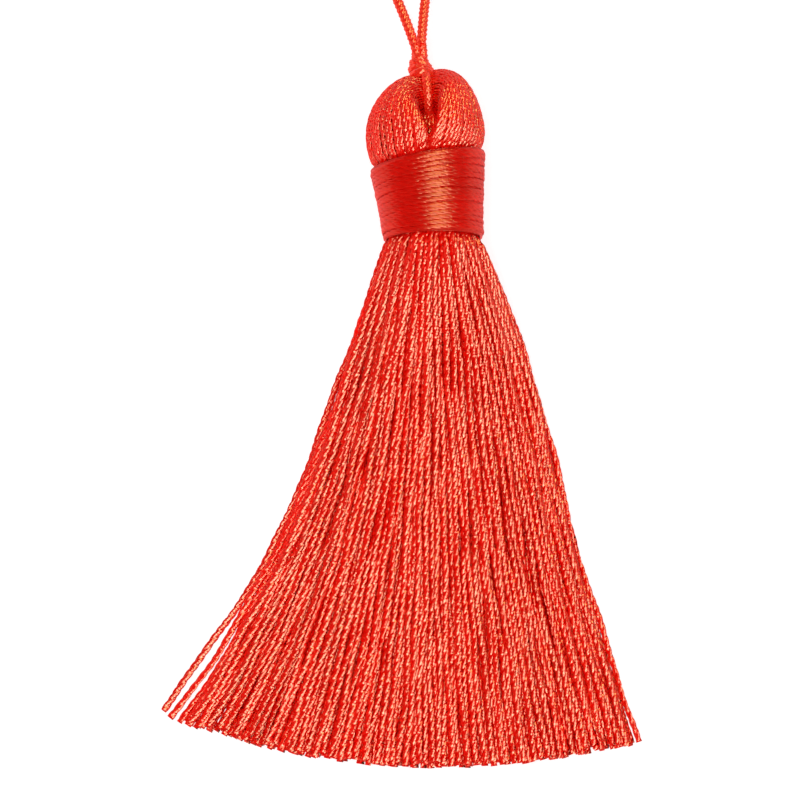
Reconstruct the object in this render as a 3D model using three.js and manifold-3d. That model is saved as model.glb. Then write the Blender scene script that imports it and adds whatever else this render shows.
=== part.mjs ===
// A silky yarn tassel lying fanned out on a flat surface, in millimetres.
// +Z is up from the surface and +Y runs from the cut skirt to the hanging cord.
// A hank of yarn is tied at its middle, folded in half over the tie and bound by a band of wound thread.
import * as THREE from "three";
import { mergeVertices } from "three/addons/utils/BufferGeometryUtils.js";
import Module from "manifold-3d";

const wasm = await Module();
wasm.setup();

// Sizes shared by the pieces
const clearance = 0.3; // between two pieces that touch
const fuseDepth = 0.15; // how far fused forms run into each other
const mergeDistance = 1e-4;
const axisHeight = 5.6; // head's axis above the surface
const headLean = THREE.MathUtils.degToRad(4.4); // head turned to the left about the root of the skirt
const rootY = -6.2; // where the skirt leaves the head
const rootX = 0.4;

// Neck band
const bandTopY = 4.4;
const bandBottomY = -4.9;
const bandThickness = 0.45;
const bandWaist = 0.12; // drawn in at half height
const bandTopTilt = Math.tan(THREE.MathUtils.degToRad(5.6)); // the winding ends higher on the right
const bandBottomTilt = -Math.tan(THREE.MathUtils.degToRad(2.7));
const bandSegments = 48;
const bandRows = 6;

// Neck, the bound part of the folded yarn, from under the head to the root of the skirt
const neckSections = [
  { y: 5.2, halfWidth: 6.6 },
  { y: 4.75, halfWidth: 6.1 },
  { y: -5.2, halfWidth: 5.0 },
  { y: rootY, halfWidth: 5.65 },
];
const [collar, neckTop, neckBottom] = neckSections;
const depthRatio = 0.95; // head's depth against its width, as it lies
const bandLift = bandThickness + clearance; // yarn under the band stays this far above the surface
const liftRun = 0.8; // length over which the yarn sinks to the surface above the band

// Head, two lobes folded from the tie down into the neck
const hankMidY = 11.55;
const hankHalfHeight = 2.65;
const hankHalfDepth = 3.9;
const foldSpread = { inner: 7.8, outer: 14 }; // pull sideways where the yarn leaves the tie
const foldDrop = { inner: 3, outer: 12 }; // pull downwards where it enters the neck
const foldSwell = 6; // pull to the front and back
const foldWaist = 4.9; // pull inwards to the neck
const lobes = [
  { side: -1, rise: 4 },
  { side: 1, rise: 9 },
];
const lobeRidges = 24; // raised yarns round each lobe
const ridgeDepth = 0.035; // groove between two yarns against the lobe's half width
const foldSteps = 8;
const partingShift = 0.55; // the parting and the tie in it stand right of the middle
const partingRise = [4.5, 7.5];
const partingFall = [13.2, 15.4];
const slopeFade = [4, 9]; // where the head loses the slope of the band's upper edge

// Skirt strands
const strandCount = 205;
const strandRadius = 0.28; // out to a corner of the three-sided strand
const strandInset = strandRadius / 2; // from the strand's middle to its flat underside
const strandLength = 58.8;
const strandUneven = 0.7; // spread of the cut ends
const straightStations = [-0.8, 7, 18, 36, strandLength]; // along the strand from its root
const flaredStations = [-0.8, 7, 18, 29, 39, 49, strandLength];
const flaredShare = -0.4; // strands further left than this bend outwards
const planSteps = 16;
const skirtRootHalfWidth = 5.45;
const skirtRootHalfDepth = 4.75;
const skirtEvenness = 0.7; // 0 keeps the neck's crowded middle, 1 spreads the strands evenly
const settleLength = 26; // length in which the skirt sinks to the surface
const edgeHeadings = [
  { along: 0, left: 19, right: 25 },
  { along: 13, left: 18, right: 17.5 },
  { along: 27, left: 19.5, right: 13 },
  { along: 40, left: 28, right: 16 },
  { along: strandLength, left: 35, right: 18.5 },
]; // degrees of the outermost strands against the axis
const goldenStep = (Math.sqrt(5) - 1) / 2;
const unevenStep = 7 * goldenStep;
const areaSteps = 12; // rounds in which a strand finds its place across the neck
const outermost = 0.999;
const leastChord = 0.15;
const strays = [
  { across: -1, fan: -1.06, turn: -1.2, shorter: 0.4 },
  { across: -0.98, fan: -1.02, turn: -0.6, shorter: 0.1 },
  { across: 0.99, fan: 1.02, turn: 0, shorter: 0.3 },
];

// Tie and knot
const cordRadius = 0.53;
const cordSides = 8;
const tieSteps = 28;
const tieEnd = 0.08; // turn at which both ends of the tie run into the knot
const tieSlack = 0.33; // the yarn swells beside the tie
const knotY = 16.05;
const knotCore = { width: 1.25, height: 1.35, depth: 1.2 }; // half sizes
const knotWrapRadius = 1.0;
const knotWrapTilt = THREE.MathUtils.degToRad(38);
const knotSegments = { around: 14, along: 10, wrap: 20 };

// Hanging cord, a loop let fall from the knot to the surface
const cordSteps = 56;
const cordRest = cordRadius + 0.02;
const cordRoute = [
  { x: -1.75, y: 17.8, z: 5.1 },
  { x: -2.5, y: 20, z: 4.8 },
  { x: -3.84, y: 23.66, z: 3.8 },
  { x: -6, y: 29, z: 1.9 },
  { x: -8.3, y: 35, z: 0.8 },
  { x: -10.2, y: 42, z: cordRest },
  { x: -10.8, y: 49, z: cordRest },
  { x: -9.4, y: 55.5, z: cordRest },
  { x: -5.8, y: 59.6, z: cordRest },
  { x: -1.2, y: 59.2, z: cordRest },
  { x: 2.2, y: 55, z: cordRest },
  { x: 3.3, y: 48.5, z: cordRest },
  { x: 2.7, y: 41, z: cordRest },
  { x: 1.5, y: 34.5, z: 0.8 },
  { x: 0.4, y: 29, z: 2.1 },
  { x: -0.6, y: 23.66, z: 4.4 },
  { x: -0.95, y: 20, z: 5.7 },
  { x: -1.1, y: 17.8, z: 6.3 },
];

const { lerp, clamp, smoothstep, degToRad } = THREE.MathUtils;

// Turns the head's own frame into the frame of the whole part
const headFrame = new THREE.Matrix4()
  .makeTranslation(rootX, rootY, 0)
  .multiply(new THREE.Matrix4().makeRotationZ(headLean))
  .multiply(new THREE.Matrix4().makeTranslation(0, -rootY, 0));
const toHeadFrame = headFrame.clone().invert();

function toSolid(geometry) {
  const bare = geometry.clone();
  for (const name of Object.keys(bare.attributes)) {
    if (name !== "position") bare.deleteAttribute(name);
  }
  const merged = mergeVertices(bare, mergeDistance);
  return new wasm.Manifold(
    new wasm.Mesh({
      numProp: 3,
      vertProperties: new Float32Array(merged.attributes.position.array),
      triVerts: new Uint32Array(merged.index.array),
    }),
  );
}

function toGeometry(solid) {
  const mesh = solid.getMesh();
  const geometry = new THREE.BufferGeometry();
  geometry.setAttribute("position", new THREE.BufferAttribute(mesh.vertProperties, 3));
  geometry.setIndex(new THREE.BufferAttribute(mesh.triVerts, 1));
  const faceted = geometry.toNonIndexed();
  faceted.computeVertexNormals();
  return faceted;
}

// Moves every point of a geometry by a function of that point
function reshape(geometry, place) {
  const position = geometry.attributes.position;
  const point = new THREE.Vector3();
  for (let i = 0; i < position.count; i += 1) {
    point.fromBufferAttribute(position, i);
    place(point);
    position.setXYZ(i, point.x, point.y, point.z);
  }
  return geometry;
}

function neckHalfWidth(y) {
  return lerp(neckBottom.halfWidth, neckTop.halfWidth, (y - neckBottom.y) / (neckTop.y - neckBottom.y));
}

// Lowest the yarn of the head may lie at a height y along the axis
function yarnFloor(y) {
  return bandLift * clamp(1 - (y - neckTop.y) / liftRun, 0, 1);
}

// Moves a point of the head beside the parting to the right
function partRight(point) {
  const share = Math.max(0, 1 - (point.x / collar.halfWidth) ** 2);
  const near = smoothstep(point.y, ...partingRise) * (1 - smoothstep(point.y, ...partingFall));
  point.x += partingShift * share * near;
}

// Lowers the neck on the left, as the band ends
function slopeNeck(point) {
  point.y += point.x * bandTopTilt * (1 - smoothstep(point.y, ...slopeFade));
}

// Line of one yarn from the tie down to the neck, by its place across the hank
function foldCurve(lobe, outward, forward) {
  const reach = (outward + 1) / 2;
  const halfWidth = collar.halfWidth;
  const across = (halfWidth / 2) * (outward + Math.sqrt(Math.max(0, 1 - forward * forward)));
  const start = new THREE.Vector3(
    -lobe.side * fuseDepth,
    hankMidY + hankHalfHeight * outward,
    axisHeight + hankHalfDepth * forward,
  );
  const end = new THREE.Vector3(
    lobe.side * (across - fuseDepth),
    collar.y,
    axisHeight + halfWidth * depthRatio * forward,
  );
  const leave = new THREE.Vector3(
    lobe.side * lerp(foldSpread.inner, foldSpread.outer, reach),
    lobe.rise * reach,
    foldSwell * forward,
  );
  const enter = new THREE.Vector3(
    -lobe.side * foldWaist * (across / halfWidth),
    -lerp(foldDrop.inner, foldDrop.outer, reach),
    -foldSwell * forward,
  );
  return new THREE.CubicBezierCurve3(
    start,
    start.clone().addScaledVector(leave, 1 / 3),
    end.clone().addScaledVector(enter, -1 / 3),
    end,
  );
}

// One half of the folded hank, from the tie through the neck to the skirt's root
function lobeGeometry(lobe) {
  const sides = lobeRidges * 2;
  const rows = foldSteps + neckSections.length - 1;
  const geometry = new THREE.CylinderGeometry(1, 1, rows, sides, rows);
  return reshape(geometry, (point) => {
    const row = rows / 2 - point.y;
    const column = Math.round((Math.atan2(point.x, point.z) / (2 * Math.PI)) * sides);
    const isOuter = lobe.side * point.x > 0;
    const groove = isOuter ? 1 - ridgeDepth * (Math.abs(column) % 2) : 1;
    const outward = lobe.side * point.x * groove;
    const forward = point.z * groove;
    const curve = foldCurve(lobe, outward, forward);
    if (row <= foldSteps) {
      point.copy(curve.getPoint(row / foldSteps));
    } else {
      const section = neckSections[Math.round(row) - foldSteps];
      const shrink = section.halfWidth / collar.halfWidth;
      point.copy(curve.v3);
      point.x *= shrink;
      point.y = section.y;
      point.z = axisHeight + (point.z - axisHeight) * shrink;
    }
    point.z = Math.max(point.z, yarnFloor(point.y));
    partRight(point);
    if (point.y > 0) slopeNeck(point);
  });
}

// Heading of a strand against the axis, by its place across the fan and the length along it
function strandHeading(fan, along) {
  const next = Math.max(1, edgeHeadings.findIndex((row) => row.along >= along));
  const before = edgeHeadings[next - 1];
  const after = edgeHeadings[next];
  const share = (along - before.along) / (after.along - before.along);
  const side = fan < 0 ? "left" : "right";
  return degToRad(lerp(before[side], after[side], share)) * fan;
}

// Point of a strand's middle line seen from above, walked out from the root
function strandPlan(strand, along) {
  const stride = along / planSteps;
  const plan = { x: rootX + skirtRootHalfWidth * strand.across, y: rootY, heading: 0 };
  for (let i = 0; i < planSteps; i += 1) {
    const reached = Math.max(0, (i + 0.5) * stride);
    const stray = degToRad(strand.turn) * smoothstep(reached, 0, strandLength);
    plan.heading = strandHeading(strand.fan, reached) + stray;
    plan.x += Math.sin(plan.heading) * stride;
    plan.y -= Math.cos(plan.heading) * stride;
  }
  return plan;
}

const leftEdge = { across: -1, fan: -1, turn: 0 };
const rightEdge = { across: 1, fan: 1, turn: 0 };

// One three-sided strand, flat side down
function strandGeometry(strand) {
  const stations = strand.fan < flaredShare ? flaredStations : straightStations;
  const steps = stations.length - 1;
  const chord = Math.sqrt(Math.max(0, 1 - strand.across ** 2));
  const geometry = new THREE.CylinderGeometry(strandRadius, strandRadius, steps, 3, steps);
  return reshape(geometry, (point) => {
    const along = stations[Math.round(steps / 2 - point.y)] * (1 - strand.shorter / strandLength);
    const plan = strandPlan(strand, along);
    const halfWidth = (strandPlan(rightEdge, along).x - strandPlan(leftEdge, along).x) / 2;
    const halfDepth = (skirtRootHalfDepth * skirtRootHalfWidth) / halfWidth;
    const even = skirtEvenness * (1 - skirtRootHalfWidth / halfWidth);
    const layers = chord / (1 - even + even * chord * (4 / Math.PI));
    const settled = smoothstep(along, 0, settleLength);
    const lowest = lerp(axisHeight - skirtRootHalfDepth, strandInset, settled);
    const side = point.x;
    point.x = plan.x + side * Math.cos(plan.heading);
    point.y = plan.y + side * Math.sin(plan.heading);
    point.z += lowest + halfDepth * (strand.height * layers + lerp(1, layers, settled));
  }).applyMatrix4(toHeadFrame);
}

// Place of a strand in the round neck and in the fan; the golden step keeps the strands evenly spaced
// when the round neck is pressed into a wide flat fan
function strandPlace(index) {
  const share = (index + 0.5) / strandCount;
  let across = 0;
  for (let i = 0; i < areaSteps; i += 1) {
    const chord = Math.sqrt(1 - across * across);
    const area = 0.5 + (across * chord + Math.asin(across)) / Math.PI;
    const slope = (2 * Math.max(chord, leastChord)) / Math.PI;
    across = clamp(across + (share - area) / slope, -outermost, outermost);
  }
  return {
    across,
    fan: lerp(across, 2 * share - 1, skirtEvenness),
    height: 2 * ((index * goldenStep + 0.5) % 1) - 1,
    turn: 0,
    shorter: strandUneven * ((index * unevenStep) % 1),
  };
}

// The folded hank with its skirt, fused at the root in the head's own frame
function yarnSolid() {
  const forms = lobes.map((lobe) => toSolid(lobeGeometry(lobe)));
  for (let i = 0; i < strandCount; i += 1) {
    forms.push(toSolid(strandGeometry(strandPlace(i))));
  }
  for (const stray of strays) {
    forms.push(toSolid(strandGeometry({ ...stray, height: 0 })));
  }
  return wasm.Manifold.union(forms);
}

// Ring of wound thread, flattened where it rests on the surface
function bandGeometry() {
  const profile = [];
  for (let i = 0; i <= bandRows; i += 1) {
    const share = i / bandRows;
    const y = lerp(bandBottomY, bandTopY, share);
    const waist = bandWaist * Math.sin(Math.PI * share);
    profile.push(new THREE.Vector2(neckHalfWidth(y) + bandLift - waist, y));
  }
  profile.push(new THREE.Vector2(neckHalfWidth(bandTopY) + clearance, bandTopY));
  profile.push(new THREE.Vector2(neckHalfWidth(bandBottomY) + clearance, bandBottomY));
  profile.push(profile[0].clone());
  const geometry = new THREE.LatheGeometry(profile, bandSegments);
  return reshape(geometry, (point) => {
    const radius = Math.hypot(point.x, point.z);
    const isInner = radius < neckHalfWidth(point.y) + clearance + bandThickness / 2;
    const squash = (radius - neckHalfWidth(point.y) * (1 - depthRatio)) / radius;
    const share = (point.y - bandBottomY) / (bandTopY - bandBottomY);
    point.z = Math.max(axisHeight + point.z * squash, isInner ? bandThickness : 0);
    point.y += point.x * lerp(bandBottomTilt, bandTopTilt, share);
  }).applyMatrix4(headFrame);
}

function tubeGeometry(curve, radius, steps) {
  const section = new THREE.Shape();
  section.absarc(0, 0, radius, 0, 2 * Math.PI);
  return new THREE.ExtrudeGeometry(section, {
    steps,
    curveSegments: cordSides / 2,
    extrudePath: curve,
    bevelEnabled: false,
  });
}

// The tie round the hank with the overhand knot above it
function tieSolid() {
  const halfHeight = hankHalfHeight + clearance + cordRadius;
  const halfDepth = hankHalfDepth + tieSlack + clearance + cordRadius;
  const ring = [];
  for (let i = 0; i <= tieSteps; i += 1) {
    const angle = lerp(tieEnd, 2 * Math.PI - tieEnd, i / tieSteps);
    ring.push(
      new THREE.Vector3(
        0,
        hankMidY + halfHeight * Math.cos(angle),
        axisHeight + halfDepth * Math.sin(angle),
      ),
    );
  }
  ring.forEach(partRight);
  const tie = tubeGeometry(new THREE.CatmullRomCurve3(ring), cordRadius, tieSteps);
  const core = new THREE.SphereGeometry(1, knotSegments.around, knotSegments.along);
  core.scale(knotCore.width, knotCore.height, knotCore.depth);
  core.translate(0, knotY, axisHeight);
  const wrap = new THREE.TorusGeometry(knotWrapRadius, cordRadius, cordSides, knotSegments.wrap);
  wrap.rotateX(Math.PI / 2);
  wrap.rotateZ(knotWrapTilt);
  wrap.translate(0, knotY, axisHeight);
  const forms = [tie, core, wrap].map((form) => toSolid(form.applyMatrix4(headFrame)));
  return wasm.Manifold.union(forms);
}

function cordGeometry() {
  const points = cordRoute.map((place) => new THREE.Vector3(place.x, place.y, place.z));
  return tubeGeometry(new THREE.CatmullRomCurve3(points), cordRadius, cordSteps);
}

function addPiece(group, name, geometry, finish) {
  const mesh = new THREE.Mesh(geometry, new THREE.MeshStandardMaterial(finish));
  mesh.name = name;
  group.add(mesh);
}

const part = new THREE.Group();
part.name = "tassel";
addPiece(part, "yarn", toGeometry(yarnSolid()).applyMatrix4(headFrame), {
  color: 0xd92a1a,
  roughness: 0.45,
  metalness: 0,
});
addPiece(part, "neck_band", bandGeometry(), { color: 0xd81f1a, roughness: 0.4, metalness: 0 });
addPiece(part, "tie_knot", toGeometry(tieSolid()), { color: 0xe03a22, roughness: 0.5, metalness: 0 });
addPiece(part, "hanging_cord", cordGeometry(), { color: 0xe03a22, roughness: 0.5, metalness: 0 });

export default part;
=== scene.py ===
import math

import bmesh
import bpy
import numpy as np
from mathutils import Matrix, Vector


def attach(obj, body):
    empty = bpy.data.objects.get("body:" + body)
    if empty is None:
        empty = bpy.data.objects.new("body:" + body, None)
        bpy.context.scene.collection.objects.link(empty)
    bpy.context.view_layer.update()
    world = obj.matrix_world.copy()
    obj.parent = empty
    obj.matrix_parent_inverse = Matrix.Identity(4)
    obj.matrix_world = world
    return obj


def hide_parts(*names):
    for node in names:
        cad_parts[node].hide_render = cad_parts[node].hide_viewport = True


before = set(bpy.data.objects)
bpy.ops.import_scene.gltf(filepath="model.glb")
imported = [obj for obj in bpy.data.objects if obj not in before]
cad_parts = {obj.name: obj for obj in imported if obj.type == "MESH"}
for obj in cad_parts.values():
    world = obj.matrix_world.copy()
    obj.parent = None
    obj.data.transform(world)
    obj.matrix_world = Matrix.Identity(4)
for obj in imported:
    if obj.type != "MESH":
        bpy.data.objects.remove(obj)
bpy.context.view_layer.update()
scene = bpy.context.scene
mm = 0.001  # lengths of the part are in millimetres until a mesh is made
fullTurn = 2 * math.pi
upward = np.array([0.0, 0.0, 1.0])
tiny = 1e-9

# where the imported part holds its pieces
seat = {
    "axisHeight": 5.6,  # head's axis above the floor
    "headLean": math.radians(4.4),  # head turned to the left
    "rootX": 0.4,  # root of the skirt
    "rootY": -6.2,
}

leanTurn = (
    Matrix.Translation((seat["rootX"], seat["rootY"], 0))
    @ Matrix.Rotation(seat["headLean"], 4, "Z")
    @ Matrix.Translation((0, -seat["rootY"], 0))
)


def leanHead(points):  # from the head's own frame to the frame of the part
    turn = np.array(leanTurn)
    return points @ turn[:3, :3].T + turn[:3, 3]


def smoothStep(value, low, high):
    share = np.clip((value - low) / (high - low), 0, 1)
    return share * share * (3 - 2 * share)


def ranged(low, high, share):
    return low + (high - low) * share


def unit(vectors):
    return vectors / np.maximum(np.linalg.norm(vectors, axis=-1, keepdims=True), tiny)


# camera
cameraSpot = {
    "target": (-3.554, -22.602, 0.0),  # middle of the picture
    "distance": 450.0,
    "elevation": 82.0,
    "lens": 175.67,
    "sensor": 36.0,
}


def placeCamera(spot):
    lens = bpy.data.cameras.new("pictureCamera")
    lens.lens = spot["lens"]
    lens.sensor_width = spot["sensor"]
    camera = bpy.data.objects.new("pictureCamera", lens)
    scene.collection.objects.link(camera)
    rise = math.radians(spot["elevation"])
    back = Vector((0, -math.cos(rise), math.sin(rise)))
    camera.location = (Vector(spot["target"]) + back * spot["distance"]) * mm
    camera.rotation_euler = (math.pi / 2 - rise, 0, 0)
    scene.camera = camera


placeCamera(cameraSpot)
print("camera placed")

# node helpers
number = "NodeSocketFloat"
vector = "NodeSocketVector"
color = "NodeSocketColor"
mixSockets = {"share": 0, "low": 6, "high": 7, "result": 2}  # those of a mix of colours
whole = (0.0, 1.0)


def addNode(tree, kind, **settings):
    node = tree.nodes.new(kind)
    for name, value in settings.items():
        setattr(node, name, value)
    return node


def setInputs(node, values):
    for label, value in values.items():
        node.inputs[label].default_value = value


def join(tree, start, end):
    tree.links.new(start, end)


def feed(tree, value, socket):  # a constant is set, an output is joined
    if isinstance(value, (int, float, tuple)):
        socket.default_value = value
    else:
        join(tree, value, socket)


def calculate(tree, operation, *values):
    node = addNode(tree, "ShaderNodeMath", operation=operation)
    for value, socket in zip(values, node.inputs):
        feed(tree, value, socket)
    return node.outputs[0]


def mixColors(tree, share, low, high):
    node = addNode(tree, "ShaderNodeMix", data_type="RGBA")
    feed(tree, share, node.inputs[mixSockets["share"]])
    feed(tree, low, node.inputs[mixSockets["low"]])
    feed(tree, high, node.inputs[mixSockets["high"]])
    return node.outputs[mixSockets["result"]]


def mapValue(tree, value, source, target):
    node = addNode(tree, "ShaderNodeMapRange", interpolation_type="SMOOTHSTEP")
    join(tree, value, node.inputs["Value"])
    limits = {"From Min": source[0], "From Max": source[1], "To Min": target[0], "To Max": target[1]}
    setInputs(node, limits)
    return node.outputs["Result"]


def newGroup(name, inputs, outputs):
    group = bpy.data.node_groups.new(name, "ShaderNodeTree")
    for label, kind in inputs.items():
        group.interface.new_socket(label, in_out="INPUT", socket_type=kind)
    for label, kind in outputs.items():
        group.interface.new_socket(label, in_out="OUTPUT", socket_type=kind)
    return group, addNode(group, "NodeGroupInput"), addNode(group, "NodeGroupOutput")


# silk colour: painted shade deep in the grooves, a painted highlight lighter on the crests, painted shade
# where the Shade attribute asks for it, and each yarn's own tone a little different
dyeAndShadePlan = {
    "sideFrom": (0.0, 0.55),  # crest values over which the groove's painted shade turns into the side's colour
    "crestFrom": (0.45, 1.0),
    "tone": (-1.0, 1.0),
    "value": (0.62, 1.08),  # brightness at either end of the tone
}


def dyeAndShadeGroup(plan):
    group, given, result = newGroup(
        "silkDyeAndShade",
        {
            "Crest": number,
            "Tone": number,
            "Shade": number,
            "Patch": number,
            "Groove Color": color,
            "Side Color": color,
            "Crest Color": color,
        },
        {"Color": color, "Gloss": number},
    )
    low = mapValue(group, given.outputs["Crest"], plan["sideFrom"], whole)
    high = mapValue(group, given.outputs["Crest"], plan["crestFrom"], whole)
    deep = mixColors(group, low, given.outputs["Groove Color"], given.outputs["Side Color"])
    patchy = calculate(group, "MULTIPLY", high, given.outputs["Patch"])
    # painted highlight on the crests over painted shade in the grooves
    litAndShaded = mixColors(group, patchy, deep, given.outputs["Crest Color"])
    toned = addNode(group, "ShaderNodeHueSaturation")
    value = mapValue(group, given.outputs["Tone"], plan["tone"], plan["value"])
    join(group, value, toned.inputs["Value"])
    join(group, litAndShaded, toned.inputs["Color"])
    # painted shade: the Shade attribute turns the colour towards the groove's
    groove = given.outputs["Groove Color"]
    shaded = mixColors(group, given.outputs["Shade"], toned.outputs["Color"], groove)
    join(group, shaded, result.inputs["Color"])
    join(group, patchy, result.inputs["Gloss"])
    return group


# fine filaments running along a yarn, read from its own map: across in X, length in mm in Y
filamentPlan = {
    "along": 0.7,  # how fine the grain is along the yarn
    "fine": {"Scale": 1.0, "Detail": 3.0, "Roughness": 0.6},
    "slub": {"Scale": 1.6, "Detail": 1.0},
    "broad": {"Scale": 0.45, "Detail": 1.0},
    "patchFrom": (0.3, 0.7),
    "patch": (0.55, 1.0),
}


def addNoise(tree, place, settings):
    noise = addNode(tree, "ShaderNodeTexNoise", noise_dimensions="2D")
    setInputs(noise, settings)
    join(tree, place, noise.inputs["Vector"])
    return noise.outputs["Fac"]


def filamentGroup(plan):
    group, given, result = newGroup(
        "silkFilament",
        {"Run": vector, "Across": number},
        {"Height": number, "Slub": number, "Patch": number},
    )
    scale = addNode(group, "ShaderNodeCombineXYZ")
    join(group, given.outputs["Across"], scale.inputs["X"])
    scale.inputs["Y"].default_value = plan["along"]
    stretched = addNode(group, "ShaderNodeVectorMath", operation="MULTIPLY")
    join(group, given.outputs["Run"], stretched.inputs[0])
    join(group, scale.outputs[0], stretched.inputs[1])
    fine = addNoise(group, stretched.outputs[0], plan["fine"])
    slub = addNoise(group, given.outputs["Run"], plan["slub"])
    broad = addNoise(group, given.outputs["Run"], plan["broad"])
    join(group, fine, result.inputs["Height"])
    join(group, slub, result.inputs["Slub"])
    join(group, mapValue(group, broad, plan["patchFrom"], plan["patch"]), result.inputs["Patch"])
    return group


# plies twisted round each other: rounded crests with a narrow groove between them
grooveTop = 0.7  # where the side of a groove ends


def plyGroup():
    group, given, result = newGroup(
        "plyTwist",
        {"Run": vector, "Plies": number},
        {"Crest": number, "Height": number},
    )
    run = addNode(group, "ShaderNodeSeparateXYZ")
    join(group, given.outputs["Run"], run.inputs[0])
    around = calculate(group, "MULTIPLY", run.outputs["X"], given.outputs["Plies"])
    wave = calculate(group, "COSINE", calculate(group, "MULTIPLY", around, fullTurn))
    crest = calculate(group, "MULTIPLY_ADD", wave, 0.5, 0.5)  # 0 in a groove, 1 on a crest
    groove = addNode(group, "ShaderNodeMapRange")
    join(group, calculate(group, "SQRT", crest), groove.inputs["Value"])
    groove.inputs["From Max"].default_value = grooveTop
    join(group, crest, result.inputs["Crest"])
    join(group, groove.outputs["Result"], result.inputs["Height"])
    return group


silkDyeAndShade = dyeAndShadeGroup(dyeAndShadePlan)
silkFilament = filamentGroup(filamentPlan)
plyTwist = plyGroup()

# silk materials
silkBase = {"IOR": 1.8, "Diffuse Roughness": 1.0}  # the same for yarn, band and cord
glossFrom = (0.0, 0.6)
# groove, side and crest colours: painted shade in the grooves and a painted highlight on the crests
yarnLook = {
    "groove": (0.9, 0.001, 0.0005),
    "side": (0.92, 0.003, 0.0015),
    "crest": (0.93, 0.008, 0.003),
    "grooveRoughness": 0.18,
    "roughness": 0.18,
    "specular": 1.0,
    "specularTint": (1.0, 0.8, 0.5),
    "filaments": 14.0,
    "filamentBump": 0.03,
    "slubBump": 2.0,
    "plies": 2.0,
    "plyDepth": 0.055,
}
bandLook = {
    "groove": (0.66, 0.001, 0.0005),
    "side": (0.7, 0.002, 0.001),
    "crest": (0.74, 0.004, 0.002),
    "grooveRoughness": 0.2,
    "roughness": 0.18,
    "specular": 0.5,
    "specularTint": (1.0, 0.7, 0.37),
    "filaments": 10.0,
    "filamentBump": 0.04,
    "slubBump": 0.3,
    "plies": 3.0,
    "plyDepth": 0.028,
}
cordLook = {
    "groove": (0.8, 0.003, 0.001),
    "side": (0.9, 0.006, 0.002),
    "crest": (0.92, 0.02, 0.006),
    "grooveRoughness": 0.3,
    "roughness": 0.22,
    "specular": 1.0,
    "specularTint": (1.0, 0.78, 0.45),
    "filaments": 12.0,
    "filamentBump": 0.15,
    "slubBump": 0.3,
    "plies": 0.0,  # its strands are braided
    "plyDepth": 0.02,
}


def silkMaterial(name, look):
    material = bpy.data.materials.new(name)
    material.use_nodes = True
    tree = material.node_tree
    shader = tree.nodes["Principled BSDF"]
    run = addNode(tree, "ShaderNodeUVMap", uv_map="yarnRun")
    filament = addNode(tree, "ShaderNodeGroup", node_tree=silkFilament)
    join(tree, run.outputs["UV"], filament.inputs["Run"])
    filament.inputs["Across"].default_value = look["filaments"]
    twist = addNode(tree, "ShaderNodeGroup", node_tree=plyTwist)
    join(tree, run.outputs["UV"], twist.inputs["Run"])
    twist.inputs["Plies"].default_value = look["plies"]
    dyeAndShade = addNode(tree, "ShaderNodeGroup", node_tree=silkDyeAndShade)
    stored = {}
    for label in ("crest", "tone", "shade"):
        stored[label] = addNode(tree, "ShaderNodeAttribute", attribute_name=label)
    # ply crests take the painted highlight and grooves the painted shade
    crest = calculate(tree, "MULTIPLY", stored["crest"].outputs["Fac"], twist.outputs["Crest"])
    join(tree, crest, dyeAndShade.inputs["Crest"])
    join(tree, stored["tone"].outputs["Fac"], dyeAndShade.inputs["Tone"])
    join(tree, stored["shade"].outputs["Fac"], dyeAndShade.inputs["Shade"])
    join(tree, filament.outputs["Patch"], dyeAndShade.inputs["Patch"])
    dyeAndShade.inputs["Groove Color"].default_value = (*look["groove"], 1)
    dyeAndShade.inputs["Side Color"].default_value = (*look["side"], 1)
    dyeAndShade.inputs["Crest Color"].default_value = (*look["crest"], 1)
    join(tree, dyeAndShade.outputs["Color"], shader.inputs["Base Color"])
    roughness = (look["grooveRoughness"], look["roughness"])
    rough = mapValue(tree, dyeAndShade.outputs["Gloss"], glossFrom, roughness)
    join(tree, rough, shader.inputs["Roughness"])
    height = twist.outputs["Height"]
    for grain, strength in (("Height", look["filamentBump"]), ("Slub", look["slubBump"])):
        height = calculate(tree, "MULTIPLY_ADD", filament.outputs[grain], strength, height)
    bump = addNode(tree, "ShaderNodeBump")
    setInputs(bump, {"Strength": 1.0, "Distance": look["plyDepth"] * mm})
    join(tree, height, bump.inputs["Height"])
    join(tree, bump.outputs["Normal"], shader.inputs["Normal"])
    setInputs(shader, silkBase)
    shader.inputs["Specular IOR Level"].default_value = look["specular"]
    shader.inputs["Specular Tint"].default_value = (*look["specularTint"], 1)
    return material


yarnSilk = silkMaterial("yarnSilk", yarnLook)
bandSilk = silkMaterial("bandSilk", bandLook)
cordSilk = silkMaterial("cordSilk", cordLook)
print("silk materials made")


# yarns are joined meshes from arrays: yarn, step along it, corner of its section
def plySection(angles, reach):
    turn = np.radians(angles)
    return np.stack([np.cos(turn) * reach, np.sin(turn) * reach], -1)


twoPlyPlaces = np.array([0, 40, 90, 140, 180, 220, 270, 320]) / 360  # corners, from a crest on
twoPly = plySection(twoPlyPlaces * 360, np.tile([1, 0.94, 0.77, 0.94], 2))
threePlyPlaces = np.array([0, 30, 90, 120, 150, 210, 240, 270, 330]) / 360
threePly = plySection(threePlyPlaces * 360, np.tile([1, 0.96, 0.96], 3))
plainPly = plySection(np.arange(0, 360, 60), np.full(6, 0.97))  # for yarns lying underneath
rollWave = (9, 20)  # length in which a flat yarn tilts to and fro
toneDraw = (0.5, 0.2)  # mean and spread
middleTone = 0.5
grainShift = 7  # no two yarns share their grain


def rollOver(rng, lengths, spread):  # flat yarns lie tilted, each a little differently along its length
    count = len(lengths)
    base = rng.normal(0, spread, (count, 1))
    wave = rng.uniform(*rollWave, (count, 1))
    sway = spread * np.sin(fullTurn * (lengths / wave + rng.random((count, 1))))
    return np.radians(base + sway)


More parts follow.
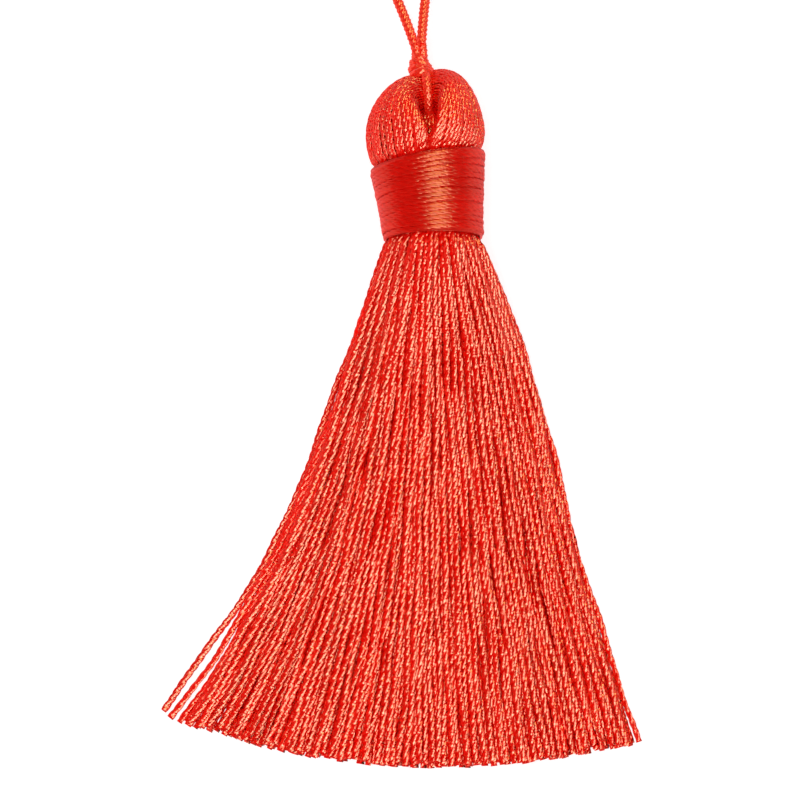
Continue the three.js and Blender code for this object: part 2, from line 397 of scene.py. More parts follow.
def drawTone(rng, shape):
    return np.clip(rng.normal(*toneDraw, shape), 0, 1)


def runningSum(hops):
    return np.concatenate([np.zeros((len(hops), 1)), np.cumsum(hops, axis=1)], axis=1)


def alongLength(lines):
    return runningSum(np.linalg.norm(np.diff(lines, axis=1), axis=-1))


def ringsRound(lines, lift, section, turn, squash=1.0, roll=0.0):
    run = unit(np.gradient(lines, axis=1))
    up = unit(lift - run * np.sum(lift * run, axis=-1, keepdims=True))
    side = np.cross(up, run)
    cos, sin = np.cos(turn)[..., None], np.sin(turn)[..., None]
    across = section[..., 0] * cos - section[..., 1] * sin
    above = (section[..., 0] * sin + section[..., 1] * cos) * squash
    rolled = np.asarray(roll)[..., None]
    across, above = (
        across * np.cos(rolled) - above * np.sin(rolled),
        across * np.sin(rolled) + above * np.cos(rolled),
    )
    return lines[:, :, None] + across[..., None] * side[:, :, None] + above[..., None] * up[:, :, None]


def yarnMesh(name, rings, lengths, material, tone, shade=0.0, crest=1.0, places=None):
    count, steps, corners = rings.shape[:3]
    index = np.arange(count * steps * corners).reshape(count, steps, corners)
    here, there = index[:, :-1], index[:, 1:]
    sides = np.stack([here, np.roll(here, -1, 2), np.roll(there, -1, 2), there], -1).reshape(-1, 4)
    faces = sides.tolist() + index[:, 0, ::-1].tolist() + index[:, -1].tolist()
    mesh = bpy.data.meshes.new(name)
    mesh.from_pydata((rings.reshape(-1, 3) * mm).tolist(), [], faces)
    smooth = np.arange(len(faces)) < len(sides)
    mesh.polygons.foreach_set("use_smooth", smooth)
    for label, values in (("crest", crest), ("tone", tone), ("shade", shade)):
        spread = np.broadcast_to(values, (count, steps, corners)).astype(np.float32)
        mesh.attributes.new(label, "FLOAT", "POINT").data.foreach_set("value", spread.ravel())
    place = np.arange(corners) / corners if places is None else places
    after = np.append(place[1:], 1.0)
    around = np.broadcast_to(np.stack([place, after, after, place], -1), (count, steps - 1, corners, 4))
    along = np.stack([lengths[:, :-1], lengths[:, :-1], lengths[:, 1:], lengths[:, 1:]], -1)
    along = np.broadcast_to(along[:, :, None], (count, steps - 1, corners, 4))
    shift = np.arange(count)[:, None, None, None] * grainShift
    runs = np.stack([around + shift, along + shift], -1).reshape(-1, 2)
    caps = np.zeros((2 * count * corners, 2))
    layer = mesh.uv_layers.new(name="yarnRun", do_init=False)
    layer.uv.foreach_set("vector", np.concatenate([runs, caps]).astype(np.float32).ravel())
    mesh.materials.append(material)
    mesh.validate()
    piece = bpy.data.objects.new(name, mesh)
    scene.collection.objects.link(piece)
    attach(piece, "root")
    return piece


def triangleCount(piece):
    return sum(len(face.vertices) - 2 for face in piece.data.polygons)


def evenSteps(line, steps):  # one line, walked in equal steps
    hops = np.linalg.norm(np.diff(line, axis=0), axis=1)
    length = np.concatenate([[0], np.cumsum(hops)])
    walk = np.linspace(0, length[-1], steps)
    return np.stack([np.interp(walk, length, line[:, k]) for k in range(3)], -1)


def between(low, high, first, last, t):  # low where t is first, high where t is last
    return ((last - t) * low + (t - first) * high) / (last - first)


def splineThrough(points, perSpan):  # centripetal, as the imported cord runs
    points = np.array(points, float)
    ends = np.concatenate([[2 * points[0] - points[1]], points, [2 * points[-1] - points[-2]]])
    line = []
    for i in range(1, len(ends) - 2):
        p = ends[i - 1 : i + 3]
        knots = np.concatenate([[0], np.cumsum(np.linalg.norm(np.diff(p, axis=0), axis=1) ** 0.5)])
        t = np.linspace(knots[1], knots[2], perSpan, endpoint=False)[:, None]
        a = [between(p[k], p[k + 1], knots[k], knots[k + 1], t) for k in range(3)]
        b = [between(a[k], a[k + 1], knots[k], knots[k + 2], t) for k in range(2)]
        line.append(between(b[0], b[1], knots[1], knots[2], t))
    line.append(points[-1:])
    return np.concatenate(line)


# braided cord, used for the hanging loop, the tie and the knot
braid = {
    "radius": 0.53,
    "relief": 0.075,  # how far the crossing strands stand out
    "columns": 5,
    "period": 0.62,  # length between two crossings in a column
    "stepsPerPeriod": 6,
    "fewestSteps": 8,
    "corners": 30,
}


def braidRings(line, lift, swell=1.0):
    total = alongLength(line[None])[0, -1]
    steps = int(round(total / braid["period"] * braid["stepsPerPeriod"]))
    steps = max(braid["fewestSteps"], steps)
    centre = evenSteps(line, steps)
    share = np.linspace(0, 1, steps)
    lift = np.stack([np.interp(share, np.linspace(0, 1, len(lift)), lift[:, k]) for k in range(3)], -1)
    around = np.arange(braid["corners"]) / braid["corners"]
    length = alongLength(centre[None])
    crossing = np.cos(fullTurn * length[..., None] / braid["period"])
    relief = np.cos(fullTurn * braid["columns"] * around) * crossing
    reach = (braid["radius"] + braid["relief"] * relief) * swell
    section = np.stack([np.cos(fullTurn * around) * reach, np.sin(fullTurn * around) * reach], -1)
    rings = ringsRound(centre[None], lift[None], section, np.zeros((1, steps)))
    # the crest value paints a highlight on the crossing strands and shade between them
    return rings, length, 0.5 + 0.5 * relief, centre


def braidPiece(name, parts):
    pieces = []
    for i, (rings, lengths, crest, _) in enumerate(parts):
        pieces.append(yarnMesh(f"{name}{i}", rings, lengths, cordSilk, middleTone, crest=crest))
    if len(pieces) > 1:
        with bpy.context.temp_override(active_object=pieces[0], selected_editable_objects=pieces):
            bpy.ops.object.join()
    pieces[0].name = name
    pieces[0].data.name = name
    return pieces[0]


# hanging cord
hangingCord = {
    "diameter": 1.06,
    "route": [
        (-1.75, 17.8, 5.1), (-2.5, 20, 4.8), (-3.84, 23.66, 3.8), (-6, 29, 1.9), (-8.3, 35, 0.8),
        (-10.2, 42, 0.55), (-10.8, 49, 0.55), (-9.4, 55.5, 0.55), (-5.8, 59.6, 0.55), (-1.2, 59.2, 0.55),
        (2.2, 55, 0.55), (3.3, 48.5, 0.55), (2.7, 41, 0.55), (1.5, 34.5, 0.8), (0.4, 29, 2.1),
        (-0.6, 23.66, 4.4), (-0.95, 20, 5.7), (-1.1, 17.8, 6.3),
    ],
    "stepsPerSpan": 12,
}


def makeHangingCord(plan):
    line = splineThrough(plan["route"], plan["stepsPerSpan"])
    part = braidRings(line, np.broadcast_to(upward, line.shape))
    piece = braidPiece("hangingCord", [part])
    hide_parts("hanging_cord")


makeHangingCord(hangingCord)

# skirt
skirt = {
    "yarns": 290,
    "pieces": 3,
    "radius": 0.43,  # of its plies together
    "thickness": (0.92, 1.06),  # thinnest and thickest yarn
    "length": 58.8,
    "start": -2.6,  # inside the band
    "uneven": 0.8,  # most by which a yarn is cut short
    "steps": 189,
    "pitch": 2.3,  # length of one full twist
    "pitchSpread": (0.9, 1.12),
    "squash": 0.31,  # soft yarn lies flat
    "roll": 14.0,  # degrees by which flat yarns lie tilted
    "rootHalfWidth": 5.75,
    "rootHalfDepth": 4.75,
    "bound": 0.955,  # drawn in under the band
    "boundRun": (-1.6, -0.3),
    "taper": 0.03,  # for each mm inside the band
    "evenness": 0.7,  # 0 keeps the yarns as crowded as in the neck, 1 spreads them evenly
    "edgeSteps": 120,
    "settle": 26.0,  # length in which it sinks to the floor
    "floorGap": 0.01,
    "headings": [  # along, left edge, right edge in degrees
        (0, 19, 25), (13, 18, 17.5), (27, 19.5, 13), (40, 28, 16), (58.8, 35, 18.5),
    ],
    "turnSpread": 0.25,  # degrees by which a yarn leaves its place in the fan
    "strays": [  # across, fan, turn in degrees, shorter
        (-1, -1.06, -1.2, 0.4), (-0.98, -1.02, -0.6, 0.1), (0.99, 1.02, 0.0, 0.3),
    ],
    "underBelow": -0.3,  # yarns lower than this in the skirt are plainer
    "underStride": 2,
    "partings": 16,
    "partingAcross": (-0.95, 0.95),
    "partingStart": (2, 30),
    "partingRun": 14,
    "partingDepth": 0.3,
    "partingShare": (0.4, 1.0),
    "partingWidth": 0.034,
    "wander": [(6.5, 0.04, 0.06), (17.0, 0.12, 0.07), (31.0, 0.12, 0.06)],  # wave, sideways, up and down
    "wanderRun": 12,
    "twistWander": [(11.0, 0.5), (4.7, 0.35)],  # wave, turn
    "cutRun": 0.5,  # cut ends are deeper red: painted shade
    "cutShade": 0.6,
    "seed": 11,
}
discSearch = {"rounds": 12, "thinnest": 0.15, "edge": 0.999}


def drawnIn(along):  # the band holds the yarn narrower than it swells below
    return 1 - (1 - skirt["bound"]) * (1 - smoothStep(along, *skirt["boundRun"]))


def skirtPlan(across, fan, turn, along):
    table = np.array(skirt["headings"], float)
    left = np.interp(along, table[:, 0], table[:, 1])
    right = np.interp(along, table[:, 0], table[:, 2])
    turned = turn * smoothStep(along, 0, skirt["length"])
    heading = np.radians(np.where(fan < 0, left, right) * fan + turned)
    hop = np.diff(along, axis=1)
    middle = (heading[:, 1:] + heading[:, :-1]) / 2
    x = runningSum(np.sin(middle) * hop)
    y = runningSum(-np.cos(middle) * hop)
    first = along[:, :1]
    root = seat["rootX"] + skirt["rootHalfWidth"] * across * drawnIn(along)
    x += root + np.sin(heading[:, :1]) * first
    y += seat["rootY"] - np.cos(heading[:, :1]) * first
    return x, y


def discPlace(share):  # place across a round neck that leaves this share of it to the left
    across = np.zeros_like(share)
    edge = discSearch["edge"]
    for _ in range(discSearch["rounds"]):
        chord = np.sqrt(1 - across**2)
        area = 0.5 + (across * chord + np.arcsin(across)) / math.pi
        slope = 2 * np.maximum(chord, discSearch["thinnest"]) / math.pi
        across = np.clip(across + (share - area) / slope, -edge, edge)
    return across


def skirtHeight(plan, across, height, along):  # round at the neck, spread out flat below
    edge = np.ones((1, 1))
    walk = np.linspace(plan["start"], plan["length"], plan["edgeSteps"])[None]
    leftX = skirtPlan(-edge, -edge, 0 * edge, walk)[0]
    rightX = skirtPlan(edge, edge, 0 * edge, walk)[0]
    halfWidth = np.interp(along, walk[0], (rightX - leftX)[0] / 2)
    halfWidth = np.maximum(halfWidth, plan["rootHalfWidth"])
    halfDepth = plan["rootHalfDepth"] * plan["rootHalfWidth"] / halfWidth
    even = plan["evenness"] * (1 - plan["rootHalfWidth"] / halfWidth)
    chord = np.sqrt(np.maximum(0, 1 - across**2))
    layers = chord / (1 - even + even * chord * (4 / math.pi))
    settled = smoothStep(along, 0, plan["settle"])
    lowest = (seat["axisHeight"] - plan["rootHalfDepth"]) * (1 - settled) + plan["radius"] * settled
    return lowest + halfDepth * (height * layers + 1 - settled + layers * settled)


def skirtLines(plan, rng):
    count = plan["yarns"]
    order = np.arange(count)
    golden = (math.sqrt(5) - 1) / 2
    share = (order + 0.5) / count
    across = discPlace(share)
    fan = across + (2 * share - 1 - across) * plan["evenness"]
    height = 2 * ((order * golden + 0.5) % 1) - 1
    shorter = plan["uneven"] * rng.random(count)
    turn = rng.normal(0, plan["turnSpread"], count)
    strays = np.array(plan["strays"])
    across = np.concatenate([across, strays[:, 0]])[:, None]
    fan = np.concatenate([fan, strays[:, 1]])[:, None]
    turn = np.concatenate([turn, strays[:, 2]])[:, None]
    shorter = np.concatenate([shorter, strays[:, 3]])[:, None]
    height = np.concatenate([height, np.zeros(len(strays))])[:, None]
    walk = np.linspace(plan["start"], plan["length"], plan["steps"])[None]
    along = walk * (1 - shorter / plan["length"])
    x, y = skirtPlan(across, fan, turn, along)
    z = skirtHeight(plan, across, height, along)
    for _ in range(plan["partings"]):  # grooves where the yarns part
        middle = rng.uniform(*plan["partingAcross"])
        begin = rng.uniform(*plan["partingStart"])
        beside = (fan - middle) / plan["partingWidth"]
        depth = plan["partingDepth"] * rng.uniform(*plan["partingShare"])
        push = depth * beside * np.exp(-(beside**2) / 2)
        x = x + push * smoothStep(along, begin, begin + plan["partingRun"])
    for wave, sway, heave in plan["wander"]:
        phase = rng.uniform(0, fullTurn, (len(across), 1))
        grown = smoothStep(along, 0, plan["wanderRun"])
        x = x + sway * np.sin(fullTurn * along / wave + phase) * grown
        z = z + heave * np.cos(fullTurn * along / wave + 2 * phase) * grown
    tapered = 1 + plan["taper"] * np.minimum(along, 0)
    z = seat["axisHeight"] + (z - seat["axisHeight"]) * tapered
    z = np.maximum(z, plan["radius"] + plan["floorGap"])
    return fan, height, along, np.stack([x, y, z], -1)


def makeSkirt(plan):
    rng = np.random.default_rng(plan["seed"])
    fan, height, along, lines = skirtLines(plan, rng)
    total = len(lines)
    lengths = alongLength(lines)
    pitch = plan["pitch"] * rng.uniform(*plan["pitchSpread"], (total, 1))
    spin = fullTurn * (lengths / pitch + rng.random((total, 1)))
    for wave, turned in plan["twistWander"]:
        spin = spin + turned * np.sin(fullTurn * (lengths / wave + rng.random((total, 1))))
    thickness = plan["radius"] * rng.uniform(*plan["thickness"], (total, 1, 1, 1))
    lift = np.broadcast_to(upward, lines.shape)
    roll = rollOver(rng, lengths, plan["roll"])
    tone = drawTone(rng, (total, 1, 1))
    # painted shade at the cut ends
    cut = smoothStep(along, along[:, -1:] - plan["cutRun"], along[:, -1:])
    shade = cut[..., None] * plan["cutShade"]
    order = np.argsort(fan[:, 0])
    onTop = height[order, 0] > plan["underBelow"]
    bundles = []
    for k, chosen in enumerate(np.array_split(order[onTop], plan["pieces"])):
        bundles.append((f"skirt{k + 1}", chosen, twoPly, twoPlyPlaces, 1))
    bundles.append(("skirtUnder", order[~onTop], plainPly, None, plan["underStride"]))
    for name, chosen, section, places, stride in bundles:
        rings = ringsRound(
            lines[chosen][:, ::stride],
            lift[chosen][:, ::stride],
            section[None, None] * thickness[chosen],
            spin[chosen][:, ::stride],
            plan["squash"],
            roll[chosen][:, ::stride],
        )
        runs = lengths[chosen][:, ::stride]
        ends = shade[chosen][:, ::stride]
        piece = yarnMesh(name, rings, runs, yarnSilk, tone[chosen], ends, places=places)
        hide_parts("yarn")
        print(f"{name}: {len(chosen)} yarns, {triangleCount(piece)} triangles")


makeSkirt(skirt)

# band of wound thread: one thread in a close winding, over a sleeve of its lower turns
band = {
    "top": 4.4,
    "bottom": -4.9,
    "turns": 17,
    "threadRadius": 0.35,
    "squash": 0.52,  # thread pulled flat
    "pitch": 3.45,  # twist of the thread
    "stepsPerTurn": 150,
    "thickness": 0.45,
    "clearance": 0.3,
    "waist": 0.12,  # drawn in halfway
    "topHalf": 6.1,  # neck's half width at the top, and where
    "topAt": 4.75,
    "bottomHalf": 4.98,
    "bottomAt": -5.2,
    "depthRatio": 0.95,
    "topTilt": math.tan(math.radians(5.6)),  # the winding ends higher on the right
    "bottomTilt": -math.tan(math.radians(2.7)),
    "wander": 0.09,
    "bulge": 0.03,
    "knotsPerTurn": 7,  # places between which the thread wanders
    "endRun": (0.4, 1.4),  # turns at either end that lie straighter
    "sleeveRows": 12,
    "sleeveSegments": 96,
    "sleeveInset": 0.12,
    # painted shade: the sleeve under the turns is darker, with little crest colour
    "sleeveLook": {"crest": 0.3, "tone": 0.5, "shade": 0.6},
    "sleeveGrain": 2,
    "mergeWithin": 1e-5,
    "seed": 3,
}


def neckHalfWidth(y):
    share = (y - band["bottomAt"]) / (band["topAt"] - band["bottomAt"])
    return ranged(band["bottomHalf"], band["topHalf"], share)


def bandShare(y):
    return (y - band["bottom"]) / (band["top"] - band["bottom"])


def bandRadius(y):
    outside = neckHalfWidth(y) + band["clearance"] + band["thickness"]
    return outside - band["waist"] * np.sin(math.pi * bandShare(y))


def onNeck(x, y, z, floorGap):  # from a round neck to the flattened and tilted one
    radius = np.hypot(x, z)
    flat = (radius - neckHalfWidth(y) * (1 - band["depthRatio"])) / radius
    tilted = y + x * ranged(band["bottomTilt"], band["topTilt"], bandShare(y))
    return np.stack([x, tilted, np.maximum(seat["axisHeight"] + z * flat, floorGap)], -1)


def makeBandThread(plan):
    rng = np.random.default_rng(plan["seed"])
    turns = plan["turns"]
    turnAt = np.linspace(0, turns, turns * plan["stepsPerTurn"])
    angle = fullTurn * turnAt
    edge = plan["threadRadius"]
    y = plan["bottom"] + edge + (plan["top"] - plan["bottom"] - 2 * edge) * turnAt / turns
    knots = np.linspace(0, turns, turns * plan["knotsPerTurn"])
    near, far = plan["endRun"]
    inside = smoothStep(turnAt, near, far) * (1 - smoothStep(turnAt, turns - far, turns - near))
    y = y + np.interp(turnAt, knots, rng.normal(0, plan["wander"], len(knots))) * inside
    bulge = np.interp(turnAt, knots, rng.normal(0, plan["bulge"], len(knots)))
    radius = bandRadius(y) - edge * plan["squash"] + bulge
    x, z = -radius * np.sin(angle), -radius * np.cos(angle)  # begins below, on the floor
    line = onNeck(x, y, z, edge * plan["squash"])
    outward = np.stack([x, 0 * x, z], -1)
    lengths = alongLength(line[None])
    spin = fullTurn * lengths / plan["pitch"]
    rings = ringsRound(line[None], outward[None], threePly * edge, spin, plan["squash"])
    tone = np.interp(turnAt, knots, drawTone(rng, len(knots)))[None, :, None]
    piece = yarnMesh("bandThread", leanHead(rings), lengths, bandSilk, tone, places=threePlyPlaces)
    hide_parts("neck_band")
    print(f"band thread: {lengths[0, -1]:.0f} mm wound, {triangleCount(piece)} triangles")


def makeBandSleeve(plan):
    depth = plan["threadRadius"] * plan["squash"]
    low, high = plan["bottom"] + plan["sleeveInset"], plan["top"] - plan["sleeveInset"]
    heights = np.linspace(low, high, plan["sleeveRows"])
    outer = [(bandRadius(y) - depth, y) for y in heights]
    inner = [(neckHalfWidth(y) + plan["clearance"], y) for y in heights[::-1]]
    shape = bmesh.new()
    loop = [shape.verts.new((0, y, -r)) for r, y in outer + inner]  # seam below
    edges = [shape.edges.new((loop[i], loop[(i + 1) % len(loop)])) for i in range(len(loop))]
    bmesh.ops.spin(
        shape, geom=loop + edges, axis=(0, 1, 0), cent=(0, 0, 0),
        steps=plan["sleeveSegments"], angle=fullTurn, use_merge=True,
    )
    bmesh.ops.remove_doubles(shape, verts=shape.verts, dist=plan["mergeWithin"])
    bmesh.ops.recalc_face_normals(shape, faces=shape.faces)
    mesh = bpy.data.meshes.new("bandSleeve")
    shape.to_mesh(mesh)
    shape.free()
    points = np.zeros(len(mesh.vertices) * 3)
    mesh.vertices.foreach_get("co", points)
    x, y, z = points.reshape(-1, 3).T
    placed = onNeck(x, y, z, depth)
    mesh.vertices.foreach_set("co", (leanHead(placed) * mm).ravel())
    mesh.polygons.foreach_set("use_smooth", np.ones(len(mesh.polygons), bool))
    for label, value in plan["sleeveLook"].items():
        values = np.full(len(x), value, np.float32)
        mesh.attributes.new(label, "FLOAT", "POINT").data.foreach_set("value", values)
    corner = np.zeros(len(mesh.loops), np.int32)
    mesh.loops.foreach_get("vertex_index", corner)
    around = np.arctan2(x, z) * np.hypot(x, z)
    runs = np.stack([y[corner] * plan["sleeveGrain"], around[corner]], -1)
    layer = mesh.uv_layers.new(name="yarnRun", do_init=False)
    layer.uv.foreach_set("vector", runs.astype(np.float32).ravel())
    mesh.materials.append(bandSilk)
    mesh.update()
    piece = bpy.data.objects.new("bandSleeve", mesh)
    scene.collection.objects.link(piece)
    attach(piece, "root")
    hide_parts("neck_band")
    print(f"band sleeve: {triangleCount(piece)} triangles")


# head, the yarn folded over the tie
head = {
    "neck": [(5.2, 6.6), (4.1, 5.65), (2.0, 5.4)],  # y and half width, down into the band
    "depthRatio": 0.95,
    "slopeRun": (4.0, 9.0),  # heights between which the neck's slope ends
    "lift": 0.75,  # yarn under the band stays this far above the floor
    "liftRun": 0.8,
    "middleY": 8.0,  # yarns face away from here
    "hankMidY": 11.55,
    "hankHalfHeight": 2.65,
    "hankHalfDepth": 3.9,
    "spread": (7.8, 14.0),  # pull sideways from the fold, innermost and outermost yarn
    "drop": (3.0, 12.0),  # pull down into the neck
    "swell": 6.0,  # pull to the front and the back
    "waist": 4.9,  # pull inward at the neck
    "lobes": [(-1, 4.0), (1, 9.0)],  # side and rise
    "overlap": 0.15,
    "layers": [  # span in degrees round a lobe: 0 outermost, 90 in front, 180 against the other lobe
        {
            "name": "head", "span": (-100, 135), "inset": 0.955, "yarns": 41, "steps": 62,
            "section": twoPly, "places": twoPlyPlaces, "shade": 0.0,
        },
        {
            "name": "headUnder", "span": (-172, 180), "inset": 0.86, "yarns": 54, "steps": 36,
            # its shade is painted shade for the layer lying underneath
            "section": plainPly, "places": None, "shade": 0.4,
        },
    ],
    "angleSpread": 0.7,
    "foldSteps": 40,
    "radius": 0.38,
    "drawnTight": 0.62,  # thinner under the tie
    "drawnRun": (0.0, 5.0),
    "pitch": 2.2,
    "pitchSpread": (0.92, 1.1),
    "squash": 0.5,
    "roll": 8.0,
    "deepShadeTone": 1.0,
    "deepShade": 0.75,
    "shadeRun": (1.0, 5.5),  # painted shade: deep red where the yarn is drawn in
    "partingShift": 0.55,  # the parting and the tie in it stand right of the middle
    "partingFrom": (4.5, 7.5),
    "partingTo": (13.2, 15.4),
    "partingYarns": [  # across, height
        (-1.5, 7.9), (-1.0, 8.5), (-0.5, 8.8), (0.0, 8.9), (0.5, 8.8), (1.0, 8.5), (1.5, 7.9),
    ],
    "partingRoute": [  # share of across, y, higher
        (0.7, 9.9, -0.5), (0.85, 8.4, 0), (1, 6.6, 0.9), (1.1, 4.6, 1.3),
    ],
    "partingSpan": 10,
    "partingSteps": 40,
    # painted shade in the bottom of the parting
    "partingShade": 0.5,
    "seed": 5,
}


def slopeNeck(points):  # lower on the left, as the band ends
    sloped = 1 - smoothStep(points[..., 1], *head["slopeRun"])
    moved = points.copy()
    moved[..., 1] += points[..., 0] * band["topTilt"] * sloped
    return moved


def partRight(points):
    x, y = points[..., 0], points[..., 1]
    share = np.maximum(0, 1 - (x / head["neck"][0][1]) ** 2)
    near = smoothStep(y, *head["partingFrom"]) * (1 - smoothStep(y, *head["partingTo"]))
    moved = points.copy()
    moved[..., 0] = x + head["partingShift"] * share * near
    return moved


def foldLines(plan, side, rise, outward, forward):
    neckY, half = plan["neck"][0]
    middleZ = seat["axisHeight"]
    reach = (outward + 1) / 2
    across = half / 2 * (outward + np.sqrt(np.maximum(0, 1 - forward**2)))
    blank = np.zeros_like(outward)
    start = [
        blank - side * plan["overlap"],
        plan["hankMidY"] + plan["hankHalfHeight"] * outward,
        middleZ + plan["hankHalfDepth"] * forward,
    ]
    end = [
        side * (across - plan["overlap"]),
        blank + neckY,
        middleZ + half * plan["depthRatio"] * forward,
    ]
    leave = [side * ranged(*plan["spread"], reach), rise * reach, plan["swell"] * forward]
    enter = [
        -side * plan["waist"] * across / half,
        -ranged(*plan["drop"], reach),
        -plan["swell"] * forward,
    ]
    start, end, leave, enter = (np.stack(parts, -1) for parts in (start, end, leave, enter))
    t = np.linspace(0, 1, plan["foldSteps"])[None, :, None]
    points = [start, start + leave / 3, end - enter / 3, end]
    weights = [(1 - t) ** 3, 3 * t * (1 - t) ** 2, 3 * t**2 * (1 - t), t**3]
    lines = sum(w * p[:, None] for w, p in zip(weights, points))
    tails = []
    for y, width in plan["neck"][1:]:
        shrink = width / half
        tail = end.copy()
        tail[:, 0] *= shrink
        tail[:, 1] = y
        tail[:, 2] = middleZ + (tail[:, 2] - middleZ) * shrink
        tails.append(tail)
    return np.concatenate([lines, np.stack(tails, 1)], axis=1)


def aboveFloor(plan, lines):
    low = plan["lift"] * np.clip(1 - (lines[..., 1] - band["topAt"]) / plan["liftRun"], 0, 1)
    lines[..., 2] = np.maximum(lines[..., 2], low + plan["radius"])
    return lines


def makeHead(plan):
    rng = np.random.default_rng(plan["seed"])
    centre = np.array([0.0, plan["middleY"], seat["axisHeight"]])
    for side, rise in plan["lobes"]:
        for layer in plan["layers"]:
            count = layer["yarns"]
            strewn = rng.normal(0, plan["angleSpread"], count)
            angle = np.radians(np.linspace(*layer["span"], count) + strewn)
            outward, forward = np.cos(angle) * layer["inset"], np.sin(angle) * layer["inset"]
            drawn = foldLines(plan, side, rise, outward, forward)
            lines = np.array([evenSteps(line, layer["steps"]) for line in drawn])
            lines = slopeNeck(partRight(aboveFloor(plan, lines)))
            lengths = alongLength(lines)
            pitch = plan["pitch"] * rng.uniform(*plan["pitchSpread"], (count, 1))
            spin = fullTurn * (lengths / pitch + rng.random((count, 1)))
            squeeze = ranged(plan["drawnTight"], 1, smoothStep(lengths, *plan["drawnRun"]))
            section = layer["section"][None, None] * (plan["radius"] * squeeze)[..., None, None]
            roll = rollOver(rng, lengths, plan["roll"])
            rings = ringsRound(lines, lines - centre, section, spin, plan["squash"], roll)
            # painted shade where the yarn is drawn in at the tie
            deep = (1 - smoothStep(lengths, *plan["shadeRun"]))[..., None]
            tone = drawTone(rng, (count, 1, 1)) - plan["deepShadeTone"] * deep
            shade = np.maximum(layer["shade"], plan["deepShade"] * deep)
            name = layer["name"] + ("Left" if side < 0 else "Right")
            piece = yarnMesh(name, leanHead(rings), lengths, yarnSilk, tone, shade, places=layer["places"])
            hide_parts("yarn")
            print(f"{name}: {count} yarns, {triangleCount(piece)} triangles")


def makeParting(plan):  # yarn that shows in the bottom of the parting, darkened with painted shade
    rng = np.random.default_rng(plan["seed"] + 1)
    lines = []
    for across, height in plan["partingYarns"]:
        route = [(across * share, y, height + higher) for share, y, higher in plan["partingRoute"]]
        lines.append(evenSteps(splineThrough(route, plan["partingSpan"]), plan["partingSteps"]))
    lines = partRight(np.array(lines))
    lengths = alongLength(lines)
    spin = fullTurn * (lengths / plan["pitch"] + rng.random((len(lines), 1)))
    lift = np.broadcast_to(upward, lines.shape)
    rings = leanHead(ringsRound(lines, lift, twoPly * plan["radius"], spin))
    shade = plan["partingShade"]
    piece = yarnMesh("headParting", rings, lengths, yarnSilk, middleTone, shade, places=twoPlyPlaces)
    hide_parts("yarn")
    print(f"parting: {len(lines)} yarns, {triangleCount(piece)} triangles")


makeHead(head)
makeParting(head)
makeBandThread(band)
makeBandSleeve(band)

# tie round the hank, and its knot
tie = {
    "clearance": 0.12,
    "slack": -0.25,  # drawn into the hank
    "drawnThin": 0.95,
    "openAt": 0.02,  # angle left open at the ends of the ring
    "ringSteps": 90,
    "knotWraps": [  # y, half width, half depth, tilt in degrees, thickness, lift
        (16.2, 0.6, 0.7, -30, 0.85, 0.2),
        (15.5, 0.86, 0.9, -22, 0.95, 0.4),
        (14.8, 1.0, 1.1, -10, 0.95, 0.9),
        (14.1, 0.9, 1.2, 4, 0.9, 2.0),
    ],
    "wrapSteps": 60,
    "knotX": 0.08,
    "ends": (13.9, 17.9),  # the cord's two ends run through the knot
    "endsApart": 0.36,
    "endSteps": 20,
}


def makeTie(plan):
    halfHeight = head["hankHalfHeight"] + plan["clearance"] + braid["radius"]
    halfDepth = head["hankHalfDepth"] + plan["slack"] + plan["clearance"] + braid["radius"]
    centre = np.array([0.0, head["hankMidY"], seat["axisHeight"]])
    angle = np.linspace(plan["openAt"], fullTurn - plan["openAt"], plan["ringSteps"])
    ring = centre + np.stack([0 * angle, halfHeight * np.cos(angle), halfDepth * np.sin(angle)], -1)
    parts = [braidRings(leanHead(partRight(ring)), ring - centre, plan["drawnThin"])]
    angle = np.linspace(0, fullTurn, plan["wrapSteps"])
    for y, halfWidth, depth, tilt, swell, raised in plan["knotWraps"]:
        flat = np.stack([halfWidth * np.cos(angle), 0 * angle, depth * np.sin(angle)], -1)
        wrap = flat @ np.array(Matrix.Rotation(math.radians(tilt), 3, "Z")).T
        place = np.array([plan["knotX"], y, seat["axisHeight"] + raised])
        parts.append(braidRings(leanHead(place + wrap), wrap, swell))
    steps = plan["endSteps"]
    for side in (-1, 1):
        apart = np.full(steps, plan["knotX"] + side * plan["endsApart"])
        level = np.full(steps, seat["axisHeight"])
        line = np.stack([apart, np.linspace(*plan["ends"], steps), level], -1)
        parts.append(braidRings(leanHead(line), np.broadcast_to(upward, line.shape)))
    piece = braidPiece("tieKnot", parts)
    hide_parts("tie_knot")
    print("tie and knot braided")


makeTie(tie)

# floor and light, with sizes in metres
mirrorTone = (1.9, 0.02, 0.01, 1)  # what the silk mirrors where no light stands, as if more silk lay there
white = (1, 1, 1)
floorPlan = {
    "size": 3.0,
    "cells": 4,
    "color": (0.42, 0.42, 0.418),
    "grain": 0.01,
    "grainScale": 60.0,
    "roughness": 0.9,
    "specular": 0.1,
    "glow": 0.78,  # lit from below as well
    "mirrored": 0.36,  # the silk mirrors less of the floor than the picture shows
    "redness": 1.1,
}


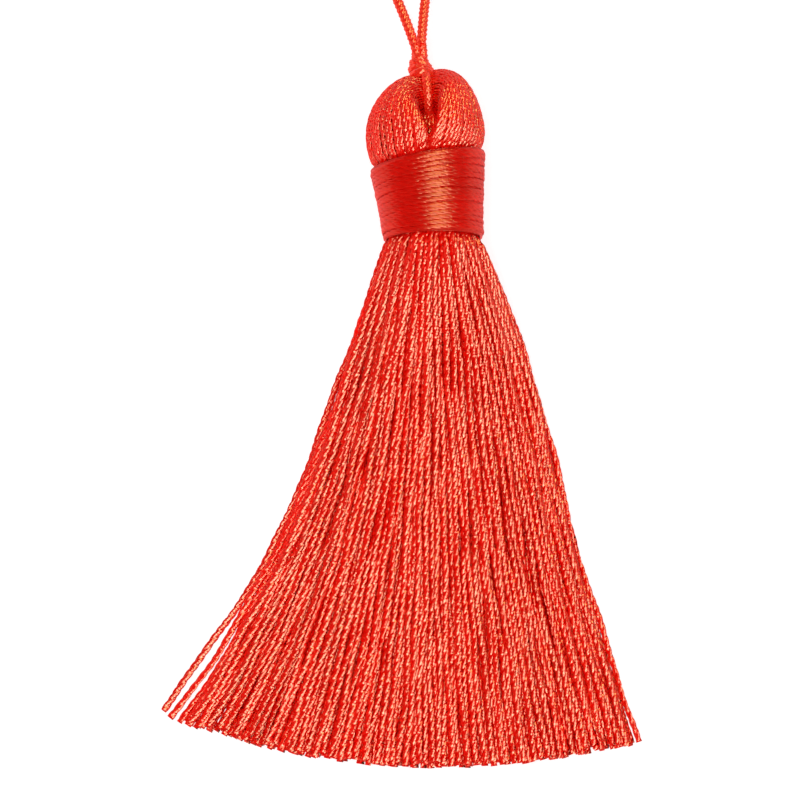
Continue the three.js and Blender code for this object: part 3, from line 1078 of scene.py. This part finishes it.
def makeFloor(plan):
    shape = bmesh.new()
    bmesh.ops.create_grid(shape, x_segments=plan["cells"], y_segments=plan["cells"], size=plan["size"])
    mesh = bpy.data.meshes.new("floor")
    shape.to_mesh(mesh)
    shape.free()
    material = bpy.data.materials.new("paleFloor")
    material.use_nodes = True
    tree = material.node_tree
    shader = tree.nodes["Principled BSDF"]
    place = addNode(tree, "ShaderNodeTexCoord")
    grain = addNode(tree, "ShaderNodeTexNoise")
    grain.inputs["Scale"].default_value = plan["grainScale"]
    join(tree, place.outputs["Object"], grain.inputs["Vector"])
    low = tuple(c - plan["grain"] for c in plan["color"])
    pale = mixColors(tree, grain.outputs["Fac"], (*low, 1), (*plan["color"], 1))
    join(tree, pale, shader.inputs["Base Color"])
    shader.inputs["Roughness"].default_value = plan["roughness"]
    shader.inputs["Specular IOR Level"].default_value = plan["specular"]
    shader.inputs["Emission Color"].default_value = (*white, 1)
    shader.inputs["Emission Strength"].default_value = plan["glow"]
    red = addNode(tree, "ShaderNodeEmission")
    setInputs(red, {"Color": mirrorTone, "Strength": plan["redness"]})
    path = addNode(tree, "ShaderNodeLightPath")
    dim = calculate(tree, "MULTIPLY", path.outputs["Is Glossy Ray"], 1 - plan["mirrored"])
    seen = addNode(tree, "ShaderNodeMixShader")
    join(tree, dim, seen.inputs["Fac"])
    join(tree, shader.outputs["BSDF"], seen.inputs[1])
    join(tree, red.outputs["Emission"], seen.inputs[2])
    join(tree, seen.outputs["Shader"], tree.nodes["Material Output"].inputs["Surface"])
    mesh.materials.append(material)
    floor = bpy.data.objects.new("floor", mesh)
    scene.collection.objects.link(floor)


# a gleam shows only in gloss and a fill not at all in it, so that the silk keeps its depth
lights = [  # name, gleam, colour, place in mm, size, watts
    ("keyAbove", True, white, (255, -230, 690), (0.9, 0.9), 3.4),
    ("gleamMiddle", True, white, (235, -60, 690), (0.45, 0.5), 1.75),
    ("gleamLow", True, white, (200, -480, 620), (0.55, 0.4), 3.4),
    ("gleamHigh", True, (1, 0.84, 0.45), (140, 520, 520), (0.35, 0.5), 3.2),
    ("fillAbove", False, white, (-80, -122, 800), (0.35, 0.35), 3.05),
]
aim = Vector((0, -20, 5)) * mm
worldLight = 0.36


def makeLights(plan):
    for name, gleam, tint, place, size, watts in plan:
        lamp = bpy.data.lights.new(name, "AREA")
        lamp.shape = "RECTANGLE"
        lamp.size, lamp.size_y = size
        lamp.energy = watts
        lamp.color = tint
        holder = bpy.data.objects.new(name, lamp)
        scene.collection.objects.link(holder)
        holder.location = Vector(place) * mm
        holder.rotation_euler = (aim - holder.location).to_track_quat("-Z", "Y").to_euler()
        holder.visible_glossy = gleam
        holder.visible_diffuse = not gleam
    world = bpy.data.worlds.new("studio")
    world.use_nodes = True
    tree = world.node_tree
    path = addNode(tree, "ShaderNodeLightPath")
    glow = mixColors(tree, path.outputs["Is Glossy Ray"], (*white, 1), mirrorTone)
    join(tree, glow, tree.nodes["Background"].inputs["Color"])
    tree.nodes["Background"].inputs["Strength"].default_value = worldLight
    scene.world = world
    scene.view_settings.view_transform = "Standard"


makeFloor(floorPlan)
makeLights(lights)
print("floor and lights placed")
